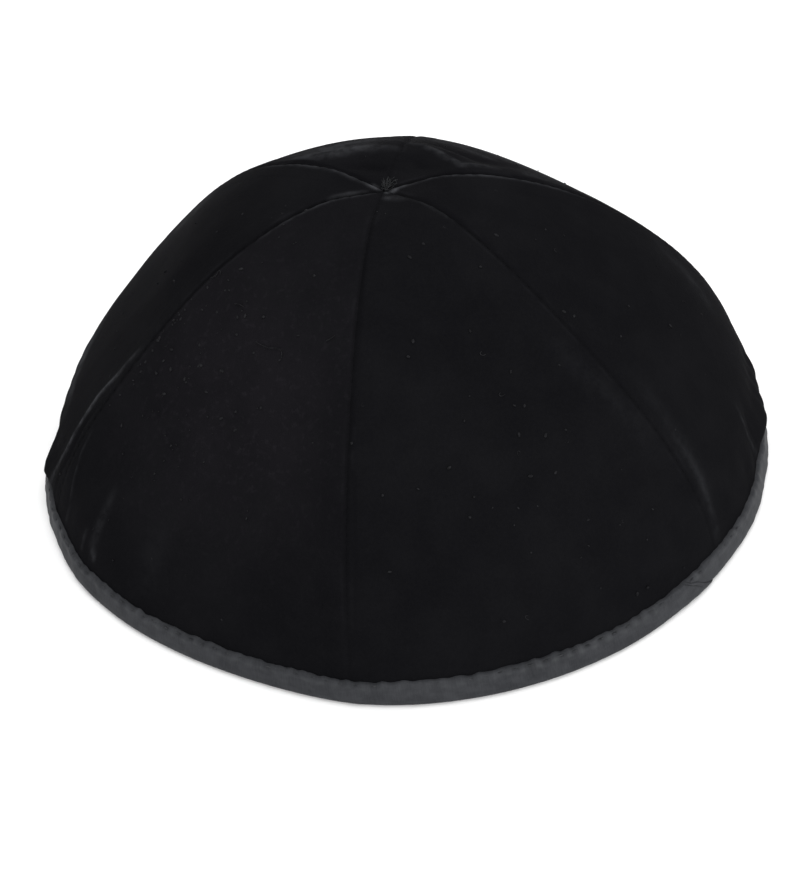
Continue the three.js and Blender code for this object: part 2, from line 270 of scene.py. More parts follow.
def addSheet(name, columns, rows):  # a flat grid made double, ready to be shaped
    deselectAll()
    bpy.ops.mesh.primitive_grid_add(x_subdivisions=columns, y_subdivisions=rows, size=1)
    piece = bpy.context.object
    piece.name = name
    piece.data.name = name
    solid = piece.modifiers.new("thickness", "SOLIDIFY")
    solid.thickness = 1 * mm
    solid.offset = -1
    bpy.ops.object.modifier_apply(modifier=solid.name)
    return piece


def shapeSheet(piece, outside, inside, flat):  # two grids of points, and their places in the flat cloth
    count = outside.shape[0] * outside.shape[1]
    points = np.concatenate([outside.reshape(-1, 3), inside.reshape(-1, 3)])
    piece.data.vertices.foreach_set("co", points.astype(np.float32).ravel())
    layer = piece.data.uv_layers.active
    corners = np.zeros(len(piece.data.loops), np.int32)
    piece.data.loops.foreach_get("vertex_index", corners)
    layer.data.foreach_set("uv", flat.reshape(-1, 2)[corners % count].astype(np.float32).ravel())
    piece.data.update()


def mergePoints(piece, distance):
    selectOnly(piece)
    bpy.ops.object.mode_set(mode="EDIT")
    bpy.ops.mesh.select_all(action="SELECT")
    bpy.ops.mesh.remove_doubles(threshold=distance)
    bpy.ops.mesh.normals_make_consistent(inside=False)
    bpy.ops.object.mode_set(mode="OBJECT")


def dropInnerFaces(piece):  # walls left where the two ends of a ring have been merged
    selectOnly(piece)
    bpy.ops.object.mode_set(mode="EDIT")
    bpy.ops.mesh.select_mode(type="FACE")
    bpy.ops.mesh.select_all(action="DESELECT")
    bpy.ops.mesh.select_interior_faces()
    bpy.ops.mesh.delete(type="FACE")
    bpy.ops.mesh.select_mode(type="VERT")
    bpy.ops.object.mode_set(mode="OBJECT")


def smoothShade(piece, angle=60):
    selectOnly(piece)
    bpy.ops.object.shade_smooth_by_angle(angle=math.radians(angle))


def dress(piece, material):  # a piece's finish, and the body that it belongs to
    piece.data.materials.append(material)
    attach(piece, "root")


def addCopies(name, shape, places, material):  # one mesh of many small copies, each at its own matrix
    points = np.array([vertex.co for vertex in shape.data.vertices])
    faces = [list(face.vertices) for face in shape.data.polygons]
    allPoints = []
    allFaces = []
    for number, place in enumerate(places):
        turn = np.array(place)
        allPoints.append(points @ turn[:3, :3].T + turn[:3, 3])
        allFaces.extend([[corner + number * len(points) for corner in face] for face in faces])
    mesh = bpy.data.meshes.new(name)
    mesh.from_pydata(np.concatenate(allPoints).tolist(), [], allFaces)
    mesh.update()
    piece = bpy.data.objects.new(name, mesh)
    bpy.context.scene.collection.objects.link(piece)
    smoothShade(piece)
    dress(piece, material)
    bpy.data.objects.remove(shape)
    print(name, len(places), "copies")


# Shader helpers

class Wire:  # a shader socket that can be used in sums
    def __init__(self, finish, socket):
        self.finish = finish
        self.socket = socket

    def maths(self, operation, *others):
        return self.finish.node("ShaderNodeMath", {"operation": operation}, dict(enumerate((self,) + others)))

    def __add__(self, other):
        return self.maths("ADD", other)

    __radd__ = __add__

    def __mul__(self, other):
        return self.maths("MULTIPLY", other)

    __rmul__ = __mul__

    def __sub__(self, other):
        return self.maths("SUBTRACT", other)

    def __rsub__(self, other):
        return self.finish.node("ShaderNodeMath", {"operation": "SUBTRACT"}, {0: other, 1: self})

    def clamped(self):
        return self.finish.node("ShaderNodeClamp", {}, {"Value": self})

    def between(self, low, high):  # 0 at low, 1 at high, smooth in the middle
        inputs = {"Value": self, "From Min": low, "From Max": high}
        return self.finish.node("ShaderNodeMapRange", {"interpolation_type": "SMOOTHSTEP"}, inputs)


class Finish:  # one material and the nodes that feed its shader
    def __init__(self, name, constants):
        self.material = bpy.data.materials.new(name)
        self.material.use_nodes = True
        self.tree = self.material.node_tree
        self.shader = self.tree.nodes["Principled BSDF"]
        for socket, value in constants.items():
            self.shader.inputs[socket].default_value = value

    def node(self, kind, settings, inputs, output=0):
        made = self.tree.nodes.new(kind)
        for key, value in settings.items():
            setattr(made, key, value)
        for key, value in inputs.items():
            if isinstance(value, Wire):
                self.tree.links.new(value.socket, made.inputs[key])
            else:
                made.inputs[key].default_value = value
        return Wire(self, made.outputs[output])

    def feed(self, socket, wire):
        self.tree.links.new(wire.socket, self.shader.inputs[socket])

    def objectPlace(self):
        return self.node("ShaderNodeTexCoord", {}, {}, "Object")

    def clothPlace(self):
        return self.node("ShaderNodeTexCoord", {}, {}, "UV")

    def stretched(self, place, scale, turn=0):
        inputs = {"Vector": place, "Scale": scale, "Rotation": (0, 0, math.radians(turn))}
        return self.node("ShaderNodeMapping", {}, inputs)

    def noise(self, place, scale, detail=2, roughness=0.5):
        inputs = {"Vector": place, "Scale": scale, "Detail": detail, "Roughness": roughness}
        return self.node("ShaderNodeTexNoise", {}, inputs, "Fac")

    def attribute(self, name):
        return self.node("ShaderNodeAttribute", {"attribute_name": name}, {}, "Fac")

    def mix(self, share, first, second):
        made = self.tree.nodes.new("ShaderNodeMix")
        made.data_type = "RGBA"
        colours = {"Factor": share, "A": first, "B": second}
        for socket in made.inputs:
            if socket.name in colours and socket.type in ("RGBA", "VALUE") and socket.enabled:
                value = colours[socket.name]
                if isinstance(value, Wire):
                    self.tree.links.new(value.socket, socket)
                else:
                    socket.default_value = value
        return Wire(self, next(socket for socket in made.outputs if socket.enabled))

    def bump(self, height, distance, strength=1.0, under=None):
        inputs = {"Height": height, "Distance": distance, "Strength": strength}
        if under is not None:
            inputs["Normal"] = under
        return self.node("ShaderNodeBump", {}, inputs)


def colour(red, green, blue):
    return (red, green, blue, 1)


# Finishes

velvetColours = {
    "deep": colour(0.0036, 0.0036, 0.0043),  # down in the pile
    "raised": colour(0.0058, 0.0058, 0.0066),
    # A lighter purplish tone: partly the cloth's own tint, partly painted light.
    "paintedLightTint": colour(0.0098, 0.0089, 0.0108),
    "mottle": colour(0.0165, 0.015, 0.018),
    # A lighter colour for the seams' lips: worn pile and a painted highlight.
    "seamLipWearAndHighlight": colour(0.02, 0.02, 0.023),
    # Painted shade for the seams' grooves.
    "seamLineShade": colour(0.0018, 0.0018, 0.0021),
    # The next two are painted shade and painted sheen, from the marks.
    "shade": colour(0.0018, 0.0017, 0.0024),
    "paintedSheen": colour(0.053, 0.0545, 0.0595),
}


def velvetFinish():
    finish = Finish("blackVelvet", {
        "Roughness": 0.9,
        "Specular IOR Level": 0.01,
        "Sheen Weight": 0.012,
        "Sheen Roughness": 0.09,
        "Sheen Tint": colour(0.92, 0.94, 1.0),
    })
    place = finish.objectPlace()
    nap = finish.noise(place, 26, 3, 0.55)
    patches = finish.noise(place, 110, 4, 0.6)
    tufts = finish.noise(place, 1300, 2, 0.6)
    depth = nap.between(0.35, 0.7) * 0.4 + patches.between(0.35, 0.7) * 0.3 + tufts.between(0.3, 0.75) * 0.3
    base = finish.mix(depth.clamped(), velvetColours["deep"], velvetColours["raised"])

    # A lighter purplish patch with mottling round some gores' middles: partly the cloth's own tint, partly
    # painted light.
    tintAndPaintedLight = finish.attribute("tintAndPaintedLight")
    cloudy = finish.noise(place, 45, 4, 0.65).between(0.33, 0.62)
    base = finish.mix(tintAndPaintedLight * (0.35 + cloudy * 0.4), base, velvetColours["paintedLightTint"])
    mottled = finish.noise(place, 560, 3, 0.7).between(0.52, 0.72)
    base = finish.mix(tintAndPaintedLight * mottled * 0.4, base, velvetColours["mottle"])

    seam = finish.attribute("seamDistance")
    sewn = finish.attribute("seamDepth")
    # A lighter lip beside each seam: partly worn pile, partly a painted highlight where the rolled edge meets
    # the light.
    lip = seam.between(0.5 * mm, 0.9 * mm) * (1 - seam.between(1.0 * mm, 1.8 * mm))
    lip = lip * patches.between(0.48, 0.65) * sewn
    base = finish.mix(lip * 0.14, base, velvetColours["seamLipWearAndHighlight"])
    # Painted shade darkens the seam's groove, in broken dashes.
    line = (1 - seam.between(0.1 * mm, 1.0 * mm)) * sewn
    dashes = finish.noise(place, 420, 2, 0.6).between(0.3, 0.6)
    base = finish.mix(line * (0.3 + dashes * 0.35), base, velvetColours["seamLineShade"])

    # Painted shade where the marks' shine is negative.
    base = finish.mix(finish.attribute("shade") * 0.7, base, velvetColours["shade"])
    # Painted sheen and highlights where the marks' shine is positive, broken into streaks.
    streaks = finish.noise(place, 300, 4, 0.65)
    paintedSheen = finish.attribute("shine") * (0.25 + streaks.between(0.3, 0.65))
    base = finish.mix(paintedSheen.clamped(), base, velvetColours["paintedSheen"])
    finish.feed("Base Color", base)
    finish.feed("Roughness", 0.8 + tufts * 0.25)
    soft = finish.bump(patches, 0.4 * mm, 0.5)
    finish.feed("Normal", finish.bump(tufts, 0.2 * mm, 0.5, soft))
    return finish.material


backing = {
    "weave": 320,  # bands for each metre of cloth
    "dark": colour(0.008, 0.008, 0.009),
    "light": colour(0.022, 0.022, 0.024),
}


def backingFinish():
    finish = Finish("groundCloth", {"Roughness": 0.85, "Specular IOR Level": 0.2})
    inputs = {"Vector": finish.clothPlace(), "Scale": backing["weave"], "Distortion": 0.6, "Detail": 1}
    along, across = [finish.node("ShaderNodeTexWave", {"wave_type": "BANDS", "bands_direction": way}, inputs)
                     for way in "XY"]
    weave = along * 0.5 + across * 0.5
    shade = finish.noise(finish.objectPlace(), 60, 3)
    finish.feed("Base Color", finish.mix(weave * 0.6 + shade * 0.4, backing["dark"], backing["light"]))
    finish.feed("Normal", finish.bump(weave, 0.15 * mm, 0.6))
    return finish.material


satinColours = {
    "dark": colour(0.014, 0.0149, 0.0175),
    "light": colour(0.0345, 0.0359, 0.0398),
    # Painted shade in the stitches' dents and a painted highlight on the lumps between them.
    "stitchDentShade": colour(0.009, 0.0095, 0.0105),
    "stitchLumpHighlight": colour(0.055, 0.058, 0.06),
}


def satinFinish():
    finish = Finish("charcoalSatin", {"Specular IOR Level": 0.12})
    place = finish.clothPlace()
    threads = finish.noise(finish.stretched(place, (2600, 420, 1), 45), 1, 2, 0.6)
    ripples = finish.noise(finish.stretched(place, (260, 700, 1), -30), 1, 3, 0.55)
    clouds = finish.noise(place, 210, 3, 0.6)
    broad = finish.noise(finish.objectPlace(), 40, 2)
    shade = threads.between(0.3, 0.7) * 0.28 + ripples.between(0.35, 0.7) * 0.25
    shade = shade + clouds.between(0.35, 0.65) * 0.32 + broad.between(0.35, 0.65) * 0.2
    base = finish.mix(shade.clamped(), satinColours["dark"], satinColours["light"])
    # Painted shade at the stitches and along the lap's edges, and a painted highlight on the lumps between
    # stitches.
    groove = finish.attribute("tapeShadeAndHighlight")
    base = finish.mix((groove * 0.6).clamped(), base, satinColours["stitchDentShade"])
    base = finish.mix((groove * -0.45).clamped(), base, satinColours["stitchLumpHighlight"])
    finish.feed("Base Color", base)
    finish.feed("Roughness", 0.5 + clouds * 0.2)
    soft = finish.bump(ripples, 0.3 * mm, 0.5)
    finish.feed("Normal", finish.bump(threads, 0.08 * mm, 0.6, soft))
    return finish.material


def threadFinish(name, dark, light):  # sewing thread, frayed ends and lint
    finish = Finish(name, {"Roughness": 0.85, "Specular IOR Level": 0.03})
    shade = finish.noise(finish.objectPlace(), 1500, 2)
    finish.feed("Base Color", finish.mix(shade.between(0.35, 0.65), dark, light))
    finish.feed("Normal", finish.bump(shade, 0.05 * mm, 0.5))
    return finish.material


def floorFinish():
    finish = Finish("paleFloor", {"Roughness": 0.9, "Specular IOR Level": 0.1})
    shade = finish.noise(finish.objectPlace(), 3, 2)
    finish.feed("Base Color", finish.mix(shade, colour(0.9, 0.9, 0.9), colour(0.92, 0.92, 0.92)))
    return finish.material


# Velvet gores

velvet = {
    "edgeColumns": 26,
    "edgeShare": 0.065,
    "edgeCrowding": 1.3,  # the columns crowd beside each seam
    "middleColumns": 84,
    "rows": 230,
    "wall": 1.5 * mm,
    "tip": 0.35 * mm,  # the gore ends this far from the crown's middle
    "foot": 1.5 * mm,  # its cut edge stands this high inside the binding
    "insideTape": (0.93, 0.955),  # shares of the way down where the cloth goes into the binding
    "rollDepth": 0.42 * mm,  # how deep the seam's groove is
    "rollWidth": 1.5 * mm,
    "rollCurve": 2.2,
    "rollLeast": 0.1,  # share of the groove that is left where the seam's line is faint
    "rollFade": 1.6,
    "crownRoll": 0.3,  # least share of the groove's depth where the gores narrow at the crown
    "allowance": 6.2 * mm,  # turned-in cloth on each side of a seam
    "allowanceRise": 0.08 * mm,  # as it shows outside
    "allowanceInside": 0.7 * mm,
    "stitchPitch": 3.1 * mm,  # pull of the seam's stitches
    "stitchPull": 0.1 * mm,
    "clearOfSeam": 0.8 * mm,  # bands and puckers start this far from a seam
    "uneven": 0.26 * mm,  # slow swells of the surface, away from the seams
    "unevenFrom": 10 * mm,
    "unevenWaves": [31 * mm, 43 * mm, 22 * mm, 17 * mm, 57 * mm],
    "unevenSeed": 11,
    "gather": 0.12 * mm,  # small puckers that the binding's stitches draw up
    "gatherPitch": 7.4 * mm,
    "gatherAlong": (0.78, 0.93),
    "overhangAzimuth": [0, 73, 78, 80, 82, 84.5, 88, 92, 95, 97, 99, 103,
                        271, 272.5, 274, 275.5, 277.3, 279, 281, 284],
    "overhang": [0, 0, 0.5, 1.2, 2, 2.2, 2, 1.75, 1.6, 1.3, 0.7, 0,
                 0, 0.4, 1.5, 2.25, 2.3, 1.4, 0.6, 0],  # the velvet puffs out over the tape (mm)
    "overhangStart": (0.865, 0.935),
    "overhangEnd": (0.935, 0.953),
    "paintedLightReach": 34 * mm,
    "smoothAngle": 50,
    "flat": (0.112, 0.138),
    "flatArea": 0.0092,
}

# Creases and bands: each lifts the cloth a little, and paints a highlight or sheen on the pile where its
# shine is positive, or shade where it is negative. Each row has a width (mm), the shine, the lift (mm), and a
# path through places across and along the gore.
marks = {
    "velvetFrontRight": [
        (0.5, 0.12, 0.1, [(0.97, 0.06), (0.975, 0.14), (0.98, 0.16)]),
        (1, 0.26, 0.15, [(0.08, 0.02), (0.35, 0.03), (0.65, 0.035), (0.93, 0.05)]),
        (0.5, 0.5, 0.1, [(0.2, 0.008), (0.6, 0.008), (0.9, 0.012)]),
        (2.4, 0.034, 0.12, [(0.88, 0.41), (0.905, 0.47), (0.92, 0.52),
                            (0.935, 0.56), (0.955, 0.63), (0.965, 0.7)]),
        (0.5, -0.27, 0, [(0.01, 0.1), (0.012, 0.2), (0.012, 0.5), (0.01, 0.9)]),
    ],
    "velvetRight": [
        (0.5, 0.33, 0.2, [(0.85, 0.025), (0.93, 0.07), (0.955, 0.11),
                          (0.96, 0.17), (0.97, 0.26), (0.985, 0.4)]),
        (0.9, -0.36, -0.1, [(0.06, 0.06), (0.03, 0.15), (0.02, 0.3)]),
        (0.7, 0.42, 0.1, [(0.05, 0.01), (0.3, 0.018), (0.8, 0.02)]),
        (0.55, 0.6, 0.1, [(0.5, 0.015), (0.9, 0.024), (0.94, 0.045)]),
        (2.6, 0.085, 0, [(0.96, 0.59), (0.88, 0.65), (0.82, 0.7), (0.76, 0.735)]),
        (2.3, 0.045, 0.1, [(0.075, 0.56), (0.06, 0.7), (0.05, 0.8), (0.042, 0.85)]),
        (1.1, 0.11, 0.13, [(0.045, 0.7), (0.042, 0.79), (0.036, 0.83), (0.03, 0.87), (0.015, 0.95)]),
        (0.4, 0.23, 0.3, [(0.4, 0.8), (0.385, 0.84), (0.375, 0.87), (0.4, 0.95)]),
        (0.8, -0.54, -0.3, [(0.43, 0.84), (0.42, 0.88), (0.43, 0.95)]),
    ],
    "velvetBackRight": [
        (0.7, -0.54, -0.2, [(0.05, 0.1), (0.02, 0.2), (0.01, 0.4)]),
        (0.9, 0.26, 0.6, [(0.97, 0.18), (0.7, 0.157), (0.38, 0.145), (0.15, 0.15), (0.11, 0.22)]),
        (2, -0.54, -0.6, [(0.8, 0.2), (0.5, 0.19), (0.3, 0.2), (0.2, 0.27)]),
        (1.6, -0.27, -0.3, [(0.9, 0.11), (0.5, 0.1), (0.2, 0.11)]),
        (1.6, 0.17, 0, [(0.95, 0.27), (0.47, 0.24), (0.3, 0.245), (0.1, 0.29), (0.02, 0.36)]),
        (5, 0.32, 0, [(0.93, 0.285), (0.7, 0.31), (0.54, 0.315), (0.37, 0.345), (0.25, 0.39), (0.1, 0.42)]),
    ],
    "velvetBackLeft": [
        (0.7, -0.45, -0.2, [(0.99, 0.3), (0.985, 0.15), (0.96, 0.06), (0.9, 0.02)]),
        (2, 0.36, 0.5, [(0.98, 0.22), (0.83, 0.175), (0.67, 0.156), (0.46, 0.15), (0.1, 0.145)]),
        (3, 0.3, 0, [(0.9, 0.25), (0.76, 0.208), (0.66, 0.186), (0.5, 0.185), (0.37, 0.19), (0.15, 0.215)]),
        (1.9, -0.54, -0.5, [(0.9, 0.11), (0.6, 0.085), (0.3, 0.065), (0.1, 0.06)]),
        (0.5, 0.3, 0.1, [(0.93, 0.035), (0.9, 0.012)]),
    ],
    "velvetLeft": [
        (0.8, 0.28, 0.2, [(0.012, 0.34), (0.02, 0.2), (0.03, 0.12), (0.06, 0.056), (0.12, 0.015)]),
        (3.4, 0.1, 0.2, [(0.95, 0.16), (0.91, 0.24), (0.9, 0.32)]),
        (0.5, 0.2, 0.1, [(0.8, 0.03), (0.9, 0.06), (0.96, 0.1)]),
        (2.8, 0.5, 0, [(0.4, 0.79), (0.507, 0.819), (0.573, 0.82),
                       (0.653, 0.815), (0.7, 0.817), (0.76, 0.835)]),
        (3, 0.24, 0, [(0.22, 0.64), (0.16, 0.6), (0.13, 0.55), (0.1, 0.5), (0.09, 0.45)]),
        (9, -0.75, 0, [(0.72, 0.25), (0.72, 0.45), (0.68, 0.65), (0.65, 0.8)]),
        (0.6, 0.6, 0.1, [(0.05, 0.035), (0.15, 0.014), (0.5, 0.005)]),
        (0.75, 0.62, 0.4, [(0.965, 0.56), (0.95, 0.64), (0.93, 0.7),
                           (0.937, 0.76), (0.943, 0.83), (0.9, 0.96)]),
        (1, -0.63, -0.3, [(0.985, 0.68), (0.965, 0.74), (0.98, 0.82), (0.96, 0.92)]),
    ],
    "velvetFrontLeft": [
        (0.4, 0.26, 0.15, [(0.02, 0.24), (0.04, 0.13), (0.09, 0.07), (0.25, 0.02)]),
        (0.35, 0.13, 0.2, [(0.022, 0.74), (0.03, 0.79), (0.05, 0.84), (0.077, 0.91), (0.07, 0.95)]),
        (1, 0.14, 0.3, [(0.215, 0.79), (0.223, 0.85), (0.227, 0.9), (0.237, 0.93)]),
        (0.5, 0.33, 0.2, [(0.236, 0.91), (0.238, 0.932)]),
        (3.4, 0.03, 0.2, [(0.4, 0.78), (0.41, 0.81), (0.44, 0.88), (0.43, 0.93)]),
        (0.4, 0.13, 0.15, [(0.19, 0.88), (0.19, 0.935)]),
    ],
}


def markShares(name, flat, along, girth, down):  # how much painted highlight or shade, and how much lift, the marks give each point of the cloth
    shine = np.zeros(flat.shape[:-1])
    lift = np.zeros(flat.shape[:-1])
    upwards = along[::-1, 0]
    for width, light, height, path in marks[name]:
        places = np.array(path)
        corners = np.stack([
            (places[:, 0] - 0.5) * np.interp(places[:, 1], upwards, girth[::-1, 0]),
            np.interp(places[:, 1], upwards, down[::-1, 0]),
        ], axis=-1)
        nearest = np.full(flat.shape[:-1], 1.0)
        reach = np.zeros(flat.shape[:-1])
        for step in range(len(corners) - 1):
            span = corners[step + 1] - corners[step]
            share = np.clip((flat - corners[step]) @ span / (span @ span), 0, 1)
            gap = np.linalg.norm(flat - corners[step] - share[..., None] * span, axis=-1)
            reach = np.where(gap < nearest, (step + share) / (len(corners) - 1), reach)
            nearest = np.minimum(gap, nearest)
        taper = np.sqrt(np.sin(np.pi * np.clip(reach, 0.02, 0.98)))  # both ends run out
        strength = np.exp(-((nearest / (width * mm)) ** 2)) * taper
        shine = shine + light * strength
        lift = lift + height * mm * strength
    return shine, lift


def addShare(piece, name, values):  # a number for each point, the same outside and inside, for the finishes
    layer = piece.data.attributes.new(name, "FLOAT", "POINT")
    layer.data.foreach_set("value", np.tile(values.ravel(), 2).astype(np.float32))


def goreGrid():  # places across and along a gore, from the binding up to the crown
    crowded = (np.arange(velvet["edgeColumns"]) / velvet["edgeColumns"]) ** velvet["edgeCrowding"]
    edge = velvet["edgeShare"] * crowded
    middle = np.linspace(velvet["edgeShare"], 1 - velvet["edgeShare"], velvet["middleColumns"] + 1)
    across = np.concatenate([edge, middle, 1 - edge[::-1]])[None, :]
    tip = velvet["tip"] / (dome["halfWidth"] * dome["out"][1] / dome["along"][1])
    foot = alongAtHeight(velvet["foot"])
    return across, np.linspace(foot, tip, velvet["rows"] + 1)[:, None]


def seamGroove(depth, fromSeam, down, narrow):  # the cloth rolls into its seam, and each stitch pulls it in
    bend = np.clip(1 - fromSeam / (velvet["rollWidth"] * narrow), 0, 1)
    groove = velvet["rollDepth"] * bend ** velvet["rollCurve"] * np.maximum(narrow, velvet["crownRoll"])
    groove = groove * (velvet["rollLeast"] + (1 - velvet["rollLeast"]) * depth ** velvet["rollFade"])
    pull = 0.5 + 0.5 * np.cos(2 * np.pi * down / velvet["stitchPitch"])
    return groove + velvet["stitchPull"] * pull * np.exp(-((fromSeam / velvet["rollWidth"]) ** 2)) * narrow


def allowanceRidge(fromSeam, narrow):  # the turned-in cloth shows through beside the seam
    ridge = 1 - smoothStep(0.75 * velvet["allowance"], velvet["allowance"], fromSeam)
    return velvet["allowanceRise"] * ridge * smoothStep(0, velvet["rollWidth"], fromSeam) * narrow


def rimPuckers(azimuth, along):
    reach = np.radians(azimuth) * dome["halfWidth"]
    gather = np.sin(2 * np.pi * reach / velvet["gatherPitch"] + 1.7 * np.sin(azimuth / 7))
    return velvet["gather"] * gather * smoothStep(*velvet["gatherAlong"], along)


def tapeOverhang(azimuth, along):
    puff = np.interp(np.mod(azimuth, fullTurn), velvet["overhangAzimuth"], velvet["overhang"]) * mm
    fade = 1 - smoothStep(*velvet["overhangEnd"], along)
    return puff * smoothStep(*velvet["overhangStart"], along) * fade


def makeGore(index, velvetMaterial, backingMaterial):
    gore = gores[index]
    across, along = goreGrid()
    columns = across.shape[1] - 1
    rows = velvet["rows"]
    piece = addSheet(gore["name"], columns, rows)
    point, normal, azimuth = domePoint(index, across, along)
    girth = np.linalg.norm(np.diff(point, axis=1), axis=-1).sum(axis=1)[:, None]
    fromSeam = np.minimum(across, 1 - across) * girth
    down = np.linalg.norm(np.diff(point[:, columns // 2], axis=0), axis=-1)
    down = np.concatenate([[0], np.cumsum(down)])[:, None]
    flat = np.stack([(across - 0.5) * girth, down + 0 * across], axis=-1)
    shine, lift = markShares(gore["name"], flat, along, girth, down)

    narrow = np.clip(girth / (4 * velvet["rollWidth"]), 0.05, 1)  # the seams' relief fades where they meet
    aboveTape = 1 - smoothStep(*dome["upright"], along)
    clearOfSeam = smoothStep(0, velvet["clearOfSeam"], fromSeam)
    depth = np.where(across < 0.5, seamDepth(index, along), seamDepth(index + 1, along))
    groove = seamGroove(depth, fromSeam, down, narrow)
    uneven = velvet["uneven"] * waves(point, velvet["unevenSeed"] + index, velvet["unevenWaves"])
    uneven = uneven * smoothStep(0, velvet["unevenFrom"], fromSeam)
    rise = (uneven + allowanceRidge(fromSeam, narrow)) * aboveTape
    rise = rise + (rimPuckers(azimuth, along) + lift) * clearOfSeam
    rise = rise * (1 - smoothStep(*velvet["insideTape"], along)) - groove
    point = point + normal * tapeOverhang(azimuth, along)[..., None]
    outside = point + normal * rise[..., None]
    hem = velvet["allowanceInside"] * aboveTape * narrow * (fromSeam < velvet["allowance"])
    inside = point - normal * (velvet["wall"] + hem)[..., None]
    shapeSheet(piece, outside - rimMiddle, inside - rimMiddle, flat)

    middlePlace = point[rows // 2, columns // 2]
    spread = np.linalg.norm(point - middlePlace, axis=-1)
    addShare(piece, "seamDistance", fromSeam)
    addShare(piece, "seamDepth", depth)
    # Painted highlight and painted shade from the marks.
    addShare(piece, "shine", np.clip(shine, 0, 1))
    addShare(piece, "shade", np.clip(-shine, 0, 1))
    # The lighter purplish patch: partly the cloth's tint, partly painted light.
    addShare(piece, "tintAndPaintedLight", gore["tintAndPaintedLight"] * np.exp(-((spread / velvet["paintedLightReach"]) ** 2)))
    dress(piece, velvetMaterial)
    piece.data.materials.append(backingMaterial)
    outer = outside.shape[0] * outside.shape[1]
    inward = [int(min(face.vertices) >= outer) for face in piece.data.polygons]
    piece.data.polygons.foreach_set("material_index", inward)
    smoothShade(piece, velvet["smoothAngle"])
    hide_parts(gore["node"])
    print("gore", gore["name"], len(piece.data.vertices), "points")


# Satin binding

tape = {
    "height": 6.3 * mm,
    "columns": 900,
    "foldMiddle": -0.8 * mm,  # middle of the fold's flat bottom, out from the velvet's surface
    "slotOut": 0.06 * mm,  # the velvet's slot between the two layers, wider than the wall
    "slotIn": 0.1 * mm,
    "slotFloor": 1.2 * mm,
    "joinGap": 0.004 * mm,  # points nearer than this are merged where the tape's ends meet
    "edgeWaves": [(9, 0.1), (21, 0.14), (47, 0.13), (97, 0.16), (131, 0.14), (211, 0.12)],  # in a turn, mm
    "swingAzimuth": [0, 45, 90, 180, 260, 300, 335, 360],
    "swing": [0, 0.3, 0.2, 0, -0.1, -0.35, -0.2, 0],  # the tape is turned up wider or narrower (mm)
    "swingFrom": (2.5 * mm, 6.3 * mm),
    "wrinkles": [(37, 0.05), (83, 0.07), (137, 0.05), (190, 0.035)],
    "wrinklesFrom": (0.1 * mm, 1.5 * mm),  # the bottom stays flat
    "wrinkleSlant": 900,  # radians for each metre of height
    "stitches": 158,
    "stitchSeed": 5,
    "stitchAskew": 9,  # degrees
    "stitchLength": 0.85 * mm,
    "stitchThickness": 0.15 * mm,
    "stitchDrop": 0.38 * mm,  # below the upper edge
    "stitchFollow": 0.75,  # share of the edge's wavering
    "stitchSunk": 0.55 * mm,  # distance out where stitches are faint, and where they stand proud
    "stitchProud": 0.91 * mm,
    "stitchAzimuth": [0, 8, 15, 40, 52, 75, 110, 250, 290, 340, 360],
    "stitchStrength": [0.3, 0.6, 1, 1, 0.6, 0.5, 0.35, 0.3, 0.8, 0.75, 0.3],
    "stitchUneven": 0.18,  # some pull less than others
    "proudFrom": 0.625,  # strength at which a stitch stands fully proud
    "edgePull": 0.22 * mm,  # each stitch draws the upper edge down
    "dip": 0.36 * mm,
    "dipWidth": 0.32 * mm,
    "lump": 0.13 * mm,  # the satin swells below, between stitches
    "lumpDrop": 0.75 * mm,
    "lumpWidth": 0.6 * mm,
    "darkRise": 0.1 * mm,  # painted shade darkens the finish at the stitches, and a painted highlight lightens it on the lumps
    "darkWidth": 0.4 * mm,
    "lightDrop": 0.7 * mm,
    "lightWidth": 0.55 * mm,
    "lapColumns": 60,
    "lapTop": 44.5,  # the lapped end runs slantwise from here at the top
    "lapBottom": 50.5,  # to here at the bottom
    "lapRise": 0.4 * mm,
    "lapLength": 18 * mm,
    "lapTurn": 0.12,  # share of the lap that is turned under and shows as a second edge
    "lapTurnWidth": 0.02,
    "lapTurnDip": 0.45,
    "lapWaver": 0.15,  # degrees by which its cut edge wavers
    "lapInside": 0.2 * mm,  # its inner face lies this deep in the tape
    "smoothAngle": 50,
    "flat": (0.575, 0.0175),
    "threadColours": (colour(0.02, 0.021, 0.023), colour(0.04, 0.041, 0.044)),
}

# The tape's face from its upper edge round the fold to its inner edge, in millimetres:
# height above the table, and distance out from the velvet's surface.
tapeFace = [
    (6.3, 0.4), (6.28, 0.64), (6.18, 0.86), (6.02, 1.0), (5.84, 1.06), (5.68, 1.09), (5.54, 1.1),
    (5.42, 1.11), (5.3, 1.12), (5.16, 1.13), (5.0, 1.14), (4.75, 1.17), (4.4, 1.2), (3.9, 1.25),
    (3.3, 1.29), (2.6, 1.32), (1.95, 1.32), (1.35, 1.27), (0.85, 1.12), (0.42, 0.84), (0.12, 0.42),
    (0, 0), (0, -0.8), (0, -1.6), (0.12, -2.05), (0.45, -2.45), (1.0, -2.7), (1.9, -2.8), (3.2, -2.8),
    (4.5, -2.75), (5.5, -2.7), (6.2, -2.6), (6.65, -2.4), (6.8, -2.1),
]


def roundRim(azimuth, waveTable, slant=0):  # waves that meet again after a full turn
    total = 0
    for number, (count, size) in enumerate(waveTable):
        patch = 0.65 + 0.35 * np.sin(np.radians(azimuth) * (number + 4) + 2.1 * number)
        total = total + size * mm * patch * np.sin(np.radians(azimuth) * count + 1.9 * number + slant)
    return total


